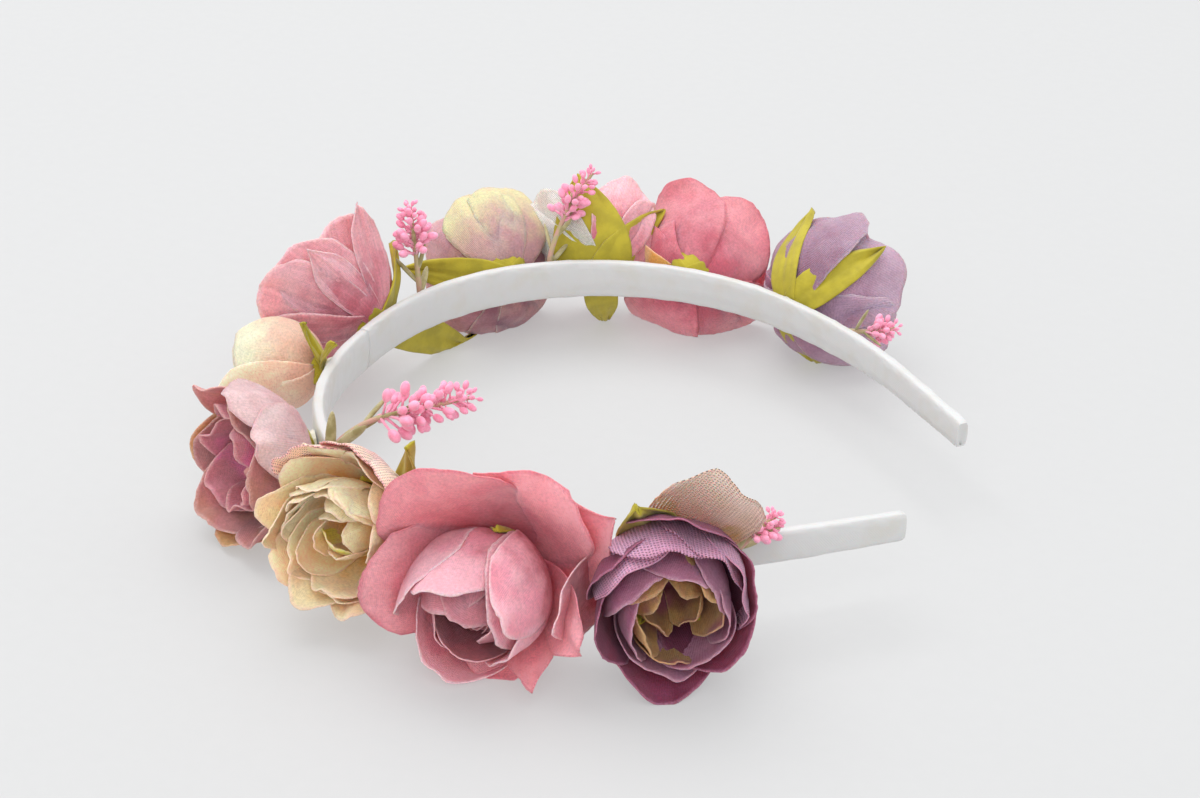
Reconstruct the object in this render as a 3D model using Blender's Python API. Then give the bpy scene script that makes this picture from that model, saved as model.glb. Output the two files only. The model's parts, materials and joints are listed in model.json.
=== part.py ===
"""Flower crown: a satin-covered spring headband with artificial flowers and sprigs glued to its outside.

The band lies on its side, as it does on a table. The origin is the middle of the crown's inner face, +X runs
from the crown towards the open end between the tips, +Y towards the wearer's left arm and +Z up.
Each flower is threaded on the peg of its own calyx: outer petals, inner petals, then the heart.
"""

import math

import bmesh
import bpy
from mathutils import Matrix, Vector

MM = 0.001

# Band, measured along its middle line. Each arm runs through these stretches from the crown to its tip, and
# each arc has its own length and its own turn, so a longer arc opens the band wider without closing its tips.
CROWN_FLAT = 6.0 * MM
CROWN_ARC, CROWN_TURN = 18.6 * MM, math.radians(15.2)
SHOULDER_ARC, SHOULDER_TURN = 90.0 * MM, math.radians(93.8)
ARM_ARC, ARM_TURN = 45.0 * MM, math.radians(23.4)
TIP_STRAIGHT = 23.4 * MM
HALF_BAND = CROWN_FLAT / 2 + CROWN_ARC + SHOULDER_ARC + ARM_ARC + TIP_STRAIGHT
FACET_LENGTH = 9.0 * MM

CORE_THICKNESS = 1.4 * MM
COVER_THICKNESS = 0.4 * MM
FIT_GAP = 0.3 * MM
BAND_THICKNESS = CORE_THICKNESS + 2 * (FIT_GAP + COVER_THICKNESS)
BAND_WIDTH_CROWN = 9.6 * MM
BAND_WIDTH_TIP = 6.2 * MM
TAPER_POWER = 1.5
TIP_FOLD_LENGTH = 1.0 * MM

# The band bends mostly here, and the model turns here.
FLEX_AT = 29.0 * MM
FLEX_GAP = 1.0 * MM

# Flower pieces
PETAL_THICKNESS = 0.8 * MM
LAYER_GAP = 0.8 * MM
PEG_RADIUS = 1.0 * MM
PEG_HOLE_RADIUS = PEG_RADIUS + FIT_GAP
SOCKET_DEPTH = 3.0 * MM
CALYX_FLOOR = 1.2 * MM
CALYX_BASE_RADIUS = 4.2 * MM
GLUE_THICKNESS = 1.0 * MM
GLUE_RADIUS = 3.4 * MM
GLUE_SIDES = 10
PETAL_STEPS = 4
PETAL_NOTCH, PETAL_POINT = 0.22, 0.8
SEPAL_REACH = 0.62
SEPAL_NOTCH, SEPAL_POINT = 0.6, 0.35
SEGMENTS_PER_LOBE = 3
HEART_SEGMENTS = 12
HEART_STEPS = 5

STEM_RADIUS = 0.7 * MM
SPRIG_SIDES = 7
SPRIG_STATIONS = 12

COLOURS = {
    "satin": (0.93, 0.93, 0.92),
    "core_plastic": (0.85, 0.85, 0.84),
    "glue": (0.90, 0.90, 0.86),
    "leaf": (0.55, 0.50, 0.03),
    "rose": (0.72, 0.25, 0.32),
    "plum": (0.35, 0.10, 0.20),
    "peach": (0.88, 0.66, 0.38),
    "dusty": (0.60, 0.32, 0.34),
    "blossom": (0.80, 0.36, 0.44),
    "mauve": (0.50, 0.30, 0.36),
    "sprig": (0.85, 0.40, 0.50),
}

# kind: (colour, lobes, outer petals (rim radius, rim height), inner petals (space inside the outer ones, rim
# height) or None, heart (space round it, top), openness), in mm
KINDS = {
    "rose": ("rose", 5, (16.0, 17.0), (1.8, 21.5), (3.0, 23.5), 1.0),
    "small_rose": ("rose", 5, (14.0, 16.0), (1.4, 19.5), (2.2, 21.0), 1.0),
    "ranunculus": ("plum", 6, (15.0, 15.5), (1.6, 18.5), (2.5, 18.0), 1.0),
    "peony": ("peach", 6, (14.0, 15.0), (1.4, 18.5), (2.6, 19.0), 1.0),
    "open_rose": ("dusty", 5, (15.0, 16.0), (2.8, 17.5), (7.0, 15.0), 1.25),
    "mauve_peony": ("mauve", 5, (14.5, 15.0), (1.9, 18.0), (3.0, 18.0), 1.0),
    "yellow_bud": ("peach", 4, (9.8, 16.0), None, (2.0, 18.0), 1.0),
    "pink_bud": ("blossom", 4, (9.4, 14.0), None, (2.0, 16.5), 1.0),
    "blossom": ("blossom", 5, (15.0, 12.0), None, (11.0, 9.0), 1.35),
}

# name: (kind, body, place along the band from the crown in mm (+ is the left arm), tilt up, lean to the tip)
FLOWERS = {
    "right_plum": ("ranunculus", "right_arm", -130.5, 5.0, 0.0),
    "right_rose": ("rose", "right_arm", -103.0, 3.0, 0.0),
    "peach_peony": ("peony", "right_arm", -75.5, 22.0, 14.0),
    "open_rose": ("open_rose", "right_arm", -44.5, 4.0, 22.0),
    "yellow_bud": ("yellow_bud", "crown", -12.0, -4.0, 0.0),
    "pink_blossom": ("blossom", "crown", 12.0, 22.0, 0.0),
    "mauve_peony": ("mauve_peony", "left_arm", 49.0, -8.0, 0.0),
    "pink_bud": ("pink_bud", "left_arm", 68.0, 6.0, 0.0),
    "left_rose": ("small_rose", "left_arm", 87.5, -10.0, 0.0),
    "left_plum": ("ranunculus", "left_arm", 113.5, -6.0, 0.0),
}
PETAL_NAMES = ("outer_petals", "inner_petals")

# name: (body, place along the band, head radius, route as (to the tip, outwards, up) in mm from the middle line)
SPRIGS = {
    "inner_sprig": ("right_arm", -58.5, 4.2,
                    ((0, 2.6, 0), (0, 3.2, 5), (1, 0.5, 9.5), (2, -6, 12.5), (4, -17, 14.5), (6, -27, 16))),
    "crown_sprig": ("crown", 25.0, 3.2, ((0, 2.6, 0), (0, 3.4, 6), (0.5, 5, 14), (1, 7, 22))),
    "left_sprig": ("left_arm", 57.5, 3.0, ((0, 2.6, 0), (0.5, 3.2, 6), (4, 6, 16), (8.5, 8.5, 25))),
    "right_tip_sprig": ("right_arm", -143.5, 2.6, ((0, 2.6, 0), (4, 3.0, 3), (10, 3.2, 7), (16, 3, 10.5))),
    "left_tip_sprig": ("left_arm", 127.5, 2.6, ((0, 2.6, 0), (3, 4.2, 0.5), (7, 7.5, 1), (10, 12, 1.5))),
}


def clear_scene():
    for obj in list(bpy.data.objects):
        bpy.data.objects.remove(obj, do_unlink=True)


def material(name):
    found = bpy.data.materials.get(name)
    if found:
        return found
    made = bpy.data.materials.new(name)
    made.use_nodes = True
    shader = made.node_tree.nodes["Principled BSDF"]
    shader.inputs["Base Color"].default_value = (*COLOURS[name], 1.0)
    shader.inputs["Roughness"].default_value = 0.75
    shader.inputs["Metallic"].default_value = 0.0
    return made


def add_object(name, bm, colour, parent, place=None):
    """One named object from a bmesh, placed by a matrix under its parent empty."""
    bmesh.ops.recalc_face_normals(bm, faces=bm.faces)
    mesh = bpy.data.meshes.new(name)
    bm.to_mesh(mesh)
    bm.free()
    mesh.shade_smooth()
    mesh.set_sharp_from_angle(angle=math.radians(40))
    mesh.materials.append(material(colour))
    obj = bpy.data.objects.new(name, mesh)
    bpy.context.scene.collection.objects.link(obj)
    obj.parent = parent
    obj.matrix_parent_inverse = parent.matrix_world.inverted()
    if place is not None:
        obj.matrix_world = place
    return obj


def band_frame(along):
    """Point on the middle line, direction to the tip and outward normal, at a signed distance from the crown."""
    side = 1 if along >= 0 else -1
    left, heading = abs(along), 0.0
    x, y = -BAND_THICKNESS / 2, 0.0
    stretches = ((CROWN_FLAT / 2, 0), (CROWN_ARC, CROWN_TURN), (SHOULDER_ARC, SHOULDER_TURN), (ARM_ARC, ARM_TURN),
                 (TIP_STRAIGHT, 0))
    for length, turn in stretches:
        run = min(left, length)
        if turn == 0:
            x += run * math.sin(heading)
            y += run * math.cos(heading)
        else:
            radius = length / turn
            turned = heading + run / radius
            x += radius * (math.cos(heading) - math.cos(turned))
            y += radius * (math.sin(turned) - math.sin(heading))
            heading = turned
        left -= run
        if left <= 0:
            break
    to_tip = Vector((math.sin(heading), side * math.cos(heading), 0))
    outward = Vector((-math.cos(heading), side * math.sin(heading), 0))
    return Vector((x, side * y, 0)), to_tip, outward


def band_width(along):
    share = min(1.0, abs(along) / HALF_BAND)
    return BAND_WIDTH_CROWN + (BAND_WIDTH_TIP - BAND_WIDTH_CROWN) * share**TAPER_POWER


def stations(start, end):
    """Places along the band from start to end: one at each change of curve, and facets between them."""
    edges, at = [CROWN_FLAT / 2], CROWN_FLAT / 2
    for length in (CROWN_ARC, SHOULDER_ARC, ARM_ARC):
        at += length
        edges.append(at)
    marks = sorted({e for e in [*edges, *(-e for e in edges)] if start < e < end} | {start, end})
    places = []
    straight_from = edges[-1]
    for a, b in zip(marks, marks[1:]):
        middle = abs(a + b) / 2
        straight = middle > straight_from or middle < CROWN_FLAT / 2
        count = 1 if straight else max(1, math.ceil((b - a) / FACET_LENGTH))
        places += [a + (b - a) * i / count for i in range(count)]
    return [*places, end]


def strip_section(along, inset):
    """Eight corners of the band's section, inset from its outside, in order round it."""
    middle, _, outward = band_frame(along)
    half_thick = BAND_THICKNESS / 2 - inset
    half_wide = band_width(along) / 2 - inset
    round_off = half_thick * 0.6
    corners = []
    for sx, sz in ((1, 1), (-1, 1), (-1, -1), (1, -1)):
        on_face = (sx * half_thick, sz * (half_wide - round_off))
        on_edge = (sx * (half_thick - round_off), sz * half_wide)
        corners += [on_face, on_edge] if sx * sz > 0 else [on_edge, on_face]
    return [middle + outward * a + Vector((0, 0, b)) for a, b in corners]


def bridge(bm, first, second):
    count = len(first)
    for i in range(count):
        j = (i + 1) % count
        bm.faces.new((first[i], first[j], second[j], second[i]))


def make_core(name, start, end, parent):
    """The springy strip inside the cover."""
    inset = COVER_THICKNESS + FIT_GAP
    bm = bmesh.new()
    rings = [[bm.verts.new(p) for p in strip_section(s, inset)] for s in stations(start, end)]
    for a, b in zip(rings, rings[1:]):
        bridge(bm, a, b)
    bm.faces.new(rings[0])
    bm.faces.new(rings[-1])
    return add_object(name, bm, "core_plastic", parent)


def make_cover(name, start, end, parent):
    """The satin sleeve round the strip, open at both ends so that the strip slides in."""
    bm = bmesh.new()
    outer, inner = [], []
    for s in stations(start, end):
        outer.append([bm.verts.new(p) for p in strip_section(s, 0.0)])
        inner.append([bm.verts.new(p) for p in strip_section(s, COVER_THICKNESS)])
    for rings in (outer, inner):
        for a, b in zip(rings, rings[1:]):
            bridge(bm, a, b)
    bridge(bm, outer[0], inner[0])
    bridge(bm, outer[-1], inner[-1])
    return add_object(name, bm, "satin", parent)


def make_tip_fold(name, end, side, parent):
    """The satin folded over and glued across the open end of the cover, at one tip."""
    bm = bmesh.new()
    rings = []
    for beyond, inset in ((FIT_GAP, 0.0), (FIT_GAP + TIP_FOLD_LENGTH, COVER_THICKNESS)):
        _, to_tip, _ = band_frame(side * end)
        rings.append([bm.verts.new(p + to_tip * beyond) for p in strip_section(side * end, inset)])
    bridge(bm, *rings)
    bm.faces.new(rings[0])
    bm.faces.new(rings[-1])
    return add_object(name, bm, "satin", parent)


def cup_points(rim_radius, rim_height, floor, reach, openness):
    """Side of a cup from its hole to its rim, as (radius, height). reach below 1 stops short of the rim."""
    points = []
    for i in range(PETAL_STEPS + 1):
        angle = reach * i / PETAL_STEPS * math.pi / 2
        radius = PEG_HOLE_RADIUS + (rim_radius - PEG_HOLE_RADIUS) * math.sin(angle)
        height = floor + (rim_height - floor) * (1 - math.cos(angle)) ** (1 / openness)
        points.append((radius, height))
    return points


def lobe_reach(turn, lobes, notch, point):
    """How far up the side the edge reaches at this turn: 1 at a lobe's middle, less in the notches."""
    wave = abs(math.cos(turn * lobes / 2))
    return 1 - notch * (1 - wave**point)


def ring_of(bm, points, turn):
    return [bm.verts.new((r * math.cos(turn), r * math.sin(turn), z)) for r, z in points]


def make_petals(name, colour, lobes, radius, height, floor, openness, twist, place, parent):
    """One die-cut petal layer, pressed into a cup, with a hole for the peg."""
    bm = bmesh.new()
    rings = []
    count = lobes * SEGMENTS_PER_LOBE
    for i in range(count):
        turn = 2 * math.pi * i / count
        reach = lobe_reach(turn, lobes, PETAL_NOTCH, PETAL_POINT)
        out = cup_points(radius, height, floor, reach, openness)
        back = cup_points(radius - PETAL_THICKNESS, height, floor + PETAL_THICKNESS, reach, openness)
        rings.append(ring_of(bm, [*out, *reversed(back)], turn + twist))
    for a, b in zip(rings, [*rings[1:], rings[0]]):
        bridge(bm, a, b)
    return add_object(name, bm, colour, parent, place)


def revolve(bm, rings, first, last):
    """Joins open rings of points round an axis, closed by one point at each end."""
    for a, b in zip(rings, [*rings[1:], rings[0]]):
        for k in range(len(a) - 1):
            bm.faces.new((a[k], a[k + 1], b[k + 1], b[k]))
        bm.faces.new((first, a[0], b[0]))
        bm.faces.new((last, b[-1], a[-1]))


def make_calyx(name, kind, peg_top, place, parent):
    """Green sepals on a base, with the peg that the petals are threaded on."""
    _, lobes, outer_rim, _, _, openness = kind
    radius = outer_rim[0] * MM + LAYER_GAP + PETAL_THICKNESS
    height = outer_rim[1] * MM
    sepals = 4 if lobes == 4 else 5
    bm = bmesh.new()
    first = bm.verts.new((0, 0, 0))
    last = bm.verts.new((0, 0, peg_top))
    rings = []
    count = sepals * SEGMENTS_PER_LOBE
    for i in range(count):
        turn = 2 * math.pi * i / count
        reach = SEPAL_REACH * lobe_reach(turn, sepals, SEPAL_NOTCH, SEPAL_POINT)
        out = cup_points(radius, height, 0.0, reach, openness)
        back = cup_points(radius - PETAL_THICKNESS, height, CALYX_FLOOR, reach, openness)
        peg = [(PEG_RADIUS, CALYX_FLOOR + FIT_GAP), (PEG_RADIUS, peg_top)]
        rings.append(ring_of(bm, [*out, *reversed(back), *peg], turn))
    revolve(bm, rings, first, last)
    return add_object(name, bm, "leaf", parent, place)


def make_heart(name, colour, radius, top, floor, place, parent):
    """The wound heart of a flower, or its stamens, seated on the peg by a blind socket."""
    bm = bmesh.new()
    first = bm.verts.new((0, 0, floor + SOCKET_DEPTH))
    last = bm.verts.new((0, 0, top))
    middle = (floor + top) / 2
    half = (top - floor) / 2
    rings = []
    for i in range(HEART_SEGMENTS):
        socket = [(PEG_HOLE_RADIUS, floor + SOCKET_DEPTH), (PEG_HOLE_RADIUS, floor)]
        side = []
        for k in range(1, HEART_STEPS):
            angle = math.pi * k / HEART_STEPS
            side.append((PEG_HOLE_RADIUS + (radius - PEG_HOLE_RADIUS) * math.sin(angle), middle - half * math.cos(angle)))
        rings.append(ring_of(bm, [*socket, *side], 2 * math.pi * i / HEART_SEGMENTS))
    revolve(bm, rings, first, last)
    return add_object(name, bm, colour, parent, place)


def make_glue(name, along, parent):
    """The dab of glue between the cover and a calyx."""
    middle, to_tip, outward = band_frame(along)
    place = Matrix((to_tip, Vector((0, 0, 1)), outward)).transposed().to_4x4()
    place.translation = middle + outward * (BAND_THICKNESS / 2 + FIT_GAP)
    bm = bmesh.new()
    bmesh.ops.create_cone(bm, cap_ends=True, segments=GLUE_SIDES, radius1=GLUE_RADIUS, radius2=GLUE_RADIUS * 0.85,
                          depth=GLUE_THICKNESS)
    bmesh.ops.translate(bm, verts=bm.verts, vec=(0, 0, GLUE_THICKNESS / 2))
    return add_object(name, bm, "glue", parent, place)


def flower_place(along, tilt, lean):
    """Matrix of a flower: local Z is its axis, local Y is up the band, and its base clears the glue."""
    middle, to_tip, outward = band_frame(along)
    axis = (Matrix.Rotation(math.radians(tilt), 3, outward.cross(Vector((0, 0, 1)))) @ outward).normalized()
    axis = (axis + to_tip * math.tan(math.radians(lean))).normalized()
    across = Vector((0, 0, 1)).cross(axis).normalized()
    up = axis.cross(across)
    lowered = CALYX_BASE_RADIUS * math.sin(math.acos(min(1.0, axis.dot(outward))))
    place = Matrix((across, up, axis)).transposed().to_4x4()
    clear = BAND_THICKNESS / 2 + GLUE_THICKNESS + 2 * FIT_GAP + lowered
    place.translation = middle + outward * clear
    return place


def make_flower(name, kind_name, along, tilt, lean, parent):
    kind = KINDS[kind_name]
    colour, lobes, outer_rim, inner_rim, heart, openness = kind
    place = flower_place(along, tilt, lean)
    make_glue(f"{name}_glue", along, parent)
    floor = CALYX_FLOOR + LAYER_GAP
    radius = outer_rim[0] * MM
    for index, layer in enumerate(layer for layer in (outer_rim, inner_rim) if layer):
        if index:
            radius -= PETAL_THICKNESS + layer[0] * MM
        twist = math.pi / lobes * index
        make_petals(f"{name}_{PETAL_NAMES[index]}", colour, lobes, radius, layer[1] * MM, floor, openness, twist,
                    place, parent)
        floor += PETAL_THICKNESS + LAYER_GAP
    radius -= PETAL_THICKNESS + heart[0] * MM
    make_heart(f"{name}_heart", colour, radius, heart[1] * MM, floor, place, parent)
    make_calyx(f"{name}_calyx", kind, floor + SOCKET_DEPTH - FIT_GAP, place, parent)


def smooth_route(points, count):
    """Evenly counted points on a smooth curve through the route's points."""
    padded = [points[0] * 2 - points[1], *points, points[-1] * 2 - points[-2]]
    spans = len(points) - 1
    route = []
    for i in range(count + 1):
        u = spans * i / count
        k = min(int(u), spans - 1)
        t = u - k
        a, b, c, d = padded[k:k + 4]
        route.append(0.5 * (2 * b + (c - a) * t + (2 * a - 5 * b + 4 * c - d) * t**2
                            + (3 * b - a - 3 * c + d) * t**3))
    return route


def make_sprig(name, along, head_radius, route, parent):
    """A moulded sprig: a thin stem that swells into a spike of small buds."""
    middle, to_tip, outward = band_frame(along * MM)
    up = Vector((0, 0, 1))
    points = [middle + (to_tip * t + outward * n + up * z) * MM for t, n, z in route]
    line = smooth_route(points, SPRIG_STATIONS)
    bm = bmesh.new()
    rings = []
    side = to_tip
    for i, point in enumerate(line):
        along_line = (line[min(i + 1, SPRIG_STATIONS)] - line[max(i - 1, 0)]).normalized()
        side = (side - along_line * side.dot(along_line)).normalized()
        other = along_line.cross(side)
        share = i / SPRIG_STATIONS
        swell = max(0.0, (share - 0.45) / 0.55)
        radius = STEM_RADIUS + (head_radius * MM - STEM_RADIUS) * math.sin(math.pi * min(1.0, swell * 1.1) ** 0.7)
        radius = max(radius, STEM_RADIUS)
        rings.append([bm.verts.new(point + (side * math.cos(a) + other * math.sin(a)) * radius)
                      for a in (2 * math.pi * k / SPRIG_SIDES for k in range(SPRIG_SIDES))])
    for a, b in zip(rings, rings[1:]):
        bridge(bm, a, b)
    bm.faces.new(rings[0])
    bm.faces.new(rings[-1])
    return add_object(name, bm, "sprig", parent)


def make_body(name, at=None):
    """The empty that a rigid body's pieces hang from, on its flex axis where it has one."""
    empty = bpy.data.objects.new(name, None)
    bpy.context.scene.collection.objects.link(empty)
    if at is not None:
        empty.location = at
    bpy.context.view_layer.update()
    return empty


def main():
    clear_scene()
    bodies = {
        "crown": make_body("crown"),
        "left_arm": make_body("left_arm", band_frame(FLEX_AT)[0]),
        "right_arm": make_body("right_arm", band_frame(-FLEX_AT)[0]),
    }
    near, far = FLEX_AT - FLEX_GAP / 2, FLEX_AT + FLEX_GAP / 2
    spans = {"crown": (-near, near), "left_arm": (far, HALF_BAND), "right_arm": (-HALF_BAND, -far)}
    for body, (start, end) in spans.items():
        make_core(f"band_core_{body}", start, end, bodies[body])
        make_cover(f"satin_cover_{body}", start, end, bodies[body])
    make_tip_fold("left_tip_fold", HALF_BAND, 1, bodies["left_arm"])
    make_tip_fold("right_tip_fold", HALF_BAND, -1, bodies["right_arm"])
    for name, (kind, body, along, tilt, lean) in FLOWERS.items():
        make_flower(name, kind, along * MM, tilt, lean, bodies[body])
    for name, (body, along, head_radius, route) in SPRIGS.items():
        make_sprig(name, along, head_radius, route, bodies[body])


main()
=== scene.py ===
"""Looks of the flower crown: satin sleeve, fabric flowers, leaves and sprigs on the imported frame.

Lengths in the tables are millimetres and angles are degrees. Every flower is built in its own frame, whose Z
leaves the band, whose Y is up and whose X is to the right as the flower is looked at.
"""

import json
import math
import random
from dataclasses import dataclass

import bmesh
import bpy
from mathutils import Matrix, Vector, noise


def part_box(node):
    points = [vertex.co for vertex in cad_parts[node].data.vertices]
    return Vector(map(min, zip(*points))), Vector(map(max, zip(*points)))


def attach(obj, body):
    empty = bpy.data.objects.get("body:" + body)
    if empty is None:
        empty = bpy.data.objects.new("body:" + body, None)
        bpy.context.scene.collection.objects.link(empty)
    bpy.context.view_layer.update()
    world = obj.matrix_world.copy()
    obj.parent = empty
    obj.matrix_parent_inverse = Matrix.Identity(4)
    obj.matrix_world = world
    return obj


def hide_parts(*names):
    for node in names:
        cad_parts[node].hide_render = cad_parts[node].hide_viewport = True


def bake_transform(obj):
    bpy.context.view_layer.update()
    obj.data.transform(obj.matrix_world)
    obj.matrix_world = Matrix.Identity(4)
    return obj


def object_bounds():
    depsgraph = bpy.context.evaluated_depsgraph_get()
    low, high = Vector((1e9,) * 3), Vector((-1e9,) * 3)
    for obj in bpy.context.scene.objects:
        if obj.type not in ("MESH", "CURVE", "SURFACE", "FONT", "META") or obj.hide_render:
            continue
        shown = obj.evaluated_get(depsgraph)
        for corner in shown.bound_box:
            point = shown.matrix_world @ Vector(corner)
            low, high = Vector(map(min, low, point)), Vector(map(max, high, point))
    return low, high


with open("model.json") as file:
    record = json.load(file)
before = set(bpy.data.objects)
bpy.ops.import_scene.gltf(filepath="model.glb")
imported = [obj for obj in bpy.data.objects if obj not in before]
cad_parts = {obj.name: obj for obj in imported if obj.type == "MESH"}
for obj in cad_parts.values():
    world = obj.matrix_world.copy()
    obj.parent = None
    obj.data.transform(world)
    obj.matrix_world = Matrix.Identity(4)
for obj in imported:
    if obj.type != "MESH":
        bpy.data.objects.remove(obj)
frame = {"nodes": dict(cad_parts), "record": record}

bl_info = {
    "name": "Flower Crown",
    "version": (1, 0, 0),
    "blender": (4, 5, 0),
    "location": "View3D > Sidebar > Flower Crown",
    "description": "Builds the satin, flowers, leaves and sprigs of a flower-trimmed headband",
    "category": "Add Mesh",
}

MM = 0.001
UP = Vector((0, 0, 1))
CAD_BOX = [list(map(float, corner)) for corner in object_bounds()]
GOLDEN_TURN = 137.508

# The band's driving dimensions, as in the CAD model
CROWN_FLAT = 3.0
CROWN_ARC, CROWN_TURN = 18.6, math.radians(15.2)
SHOULDER_ARC, SHOULDER_TURN = 90.0, math.radians(93.8)
ARM_ARC, ARM_TURN = 45.0, math.radians(23.4)
TIP_STRAIGHT = 23.4
HALF_BAND = CROWN_FLAT + CROWN_ARC + SHOULDER_ARC + ARM_ARC + TIP_STRAIGHT
BAND_THICKNESS = 2.8
TAPER_POWER = 1.5
FLEX_AT = 29.0
FLEX_BLEND = 9.0

# The satin sleeve: its faces round and along, how far it is folded past the strip, and its girth in metres
SLEEVE_ROUNDS, SLEEVE_STEPS = 40, 230
TIP_FOLD = 0.9
SLEEVE_GIRTH = 0.024

# A petal: its faces, the steps of its profile, and the thread pitch of close and sheer cloth in metres
PETAL_ACROSS, PETAL_ALONG = 22, 18
FINE_STEPS = PETAL_ALONG * 4
CLOSE_PITCH, SHEER_PITCH = 0.00036, 0.00068

# The gap from the glue to a flower's foot
FOOT_GAP = 0.8

# The table lies just under the lowest part of the CAD model, and cloth stays clear of it
TABLE_GAP = 1.2
EDGE_CLEARANCE = 0.25

STEM_STEPS = 48
STAMENS, STAMEN_STEPS = 9, 8

# Stage: what the camera looks at, its roll and sensor; the lamps as (place, side, watts); sky and table glow
CAMERA_TARGET = Vector((0.054, 0.0015, 0.0))
CAMERA_ROLL = math.radians(1.8)
SENSOR_WIDTH = 23.5
TABLE_SIDE = 6.0
LAMPS = {"softbox": ((-0.3, 0.3, 1.3), 1.3, 13.5), "fill": ((0.5, -1.2, 0.9), 1.3, 8.0)}
SKY_COLOUR, SKY_STRENGTH = (0.95, 0.97, 1.0, 1.0), 0.93
TABLE_GLOW = 0.36


class BandSettings(bpy.types.PropertyGroup):
    """Sizes and colour of the satin sleeve."""

    crown_width: bpy.props.FloatProperty(
        name="Crown width", description="Width of the band at the crown", default=0.0096, unit="LENGTH")
    tip_width: bpy.props.FloatProperty(
        name="Tip width", description="Width of the band at its tips", default=0.0062, unit="LENGTH")
    pucker: bpy.props.FloatProperty(
        name="Pucker", description="Height of the satin's small puckers", default=0.00018, unit="LENGTH")
    cloth: bpy.props.FloatProperty(
        name="Satin cloth", description="Thickness of the satin", default=0.0003, unit="LENGTH")
    satin: bpy.props.FloatVectorProperty(
        name="Satin", description="Colour of the satin", subtype="COLOR", size=3,
        default=(0.60, 0.595, 0.585))


class FlowerSettings(bpy.types.PropertyGroup):
    """Sizes and colours shared by the flowers."""

    cloth: bpy.props.FloatProperty(
        name="Petal cloth", description="Thickness of the petal cloth", default=0.00024, unit="LENGTH")
    sepal_cloth: bpy.props.FloatProperty(
        name="Leaf cloth", description="Thickness of the stiffened leaves", default=0.0004, unit="LENGTH")
    leaf: bpy.props.FloatVectorProperty(
        name="Leaf", description="Colour of leaves and sepals", subtype="COLOR", size=3,
        default=(0.47, 0.39, 0.02))
    bead: bpy.props.FloatVectorProperty(
        name="Sprig buds", description="Colour of the sprigs' buds", subtype="COLOR", size=3,
        default=(0.88, 0.28, 0.42))
    stem: bpy.props.FloatVectorProperty(
        name="Stem", description="Colour of the sprigs' stems", subtype="COLOR", size=3,
        default=(0.55, 0.30, 0.24))


class StageSettings(bpy.types.PropertyGroup):
    """The camera and the light."""

    azimuth: bpy.props.FloatProperty(
        name="Azimuth", description="Camera's turn round the object", subtype="ANGLE",
        default=math.radians(22.5))
    elevation: bpy.props.FloatProperty(
        name="Elevation", description="Camera's height above the table", subtype="ANGLE",
        default=math.radians(27.9))
    distance: bpy.props.FloatProperty(
        name="Distance", description="Camera's distance from its target", default=0.539, unit="LENGTH")
    lens: bpy.props.FloatProperty(name="Lens", description="Focal length in mm", default=50.0)
    floor: bpy.props.FloatVectorProperty(
        name="Floor", description="Colour of the table", subtype="COLOR", size=3,
        default=(0.280, 0.280, 0.278))


# ---------------------------------------------------------------- shader and mesh helpers


def node(tree, kind, values=None, **settings):
    """A node with its settings, and each input linked or set."""
    made = tree.nodes.new(kind)
    for key, value in settings.items():
        setattr(made, key, value)
    for key, value in (values or {}).items():
        if isinstance(value, bpy.types.NodeSocket):
            tree.links.new(value, made.inputs[key])
        else:
            made.inputs[key].default_value = value
    return made


def maths(tree, operation, a, b=0.0, clamp=False):
    return node(tree, "ShaderNodeMath", {0: a, 1: b}, operation=operation, use_clamp=clamp).outputs[0]


def plus(tree, a, b):
    return maths(tree, "ADD", a, b)


def times(tree, a, b):
    return maths(tree, "MULTIPLY", a, b)


def noise_at(tree, place, scale, detail):
    return node(tree, "ShaderNodeTexNoise", {"Vector": place, "Scale": scale, "Detail": detail}).outputs[0]


def map_parts(tree, title):
    """The parts of one of the piece's UV maps."""
    place = node(tree, "ShaderNodeUVMap", uv_map=title).outputs[0]
    return node(tree, "ShaderNodeSeparateXYZ", {0: place}).outputs


def blend_colours(tree, factor, a, b, how="MIX"):
    made = node(tree, "ShaderNodeMix", {0: factor, 6: a, 7: b}, data_type="RGBA", blend_type=how)
    return made.outputs[2]


def shaded(tree, colour, shade):
    """The colour times a grey."""
    grey = node(tree, "ShaderNodeCombineColor", {0: shade, 1: shade, 2: shade}).outputs[0]
    return blend_colours(tree, 1.0, colour, grey, "MULTIPLY")


def ramp(tree, value, low, high):
    """0 below low, 1 above high, and smooth between."""
    made = node(tree, "ShaderNodeMapRange", {0: value, 1: low, 2: high}, interpolation_type="SMOOTHSTEP")
    return made.outputs[0]


def new_group(name, inputs, outputs):
    tree = bpy.data.node_groups.new(name, "ShaderNodeTree")
    for title, kind in inputs:
        tree.interface.new_socket(name=title, in_out="INPUT", socket_type=kind)
    for title, kind in outputs:
        tree.interface.new_socket(name=title, in_out="OUTPUT", socket_type=kind)
    return tree, node(tree, "NodeGroupInput").outputs, node(tree, "NodeGroupOutput").inputs


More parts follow.
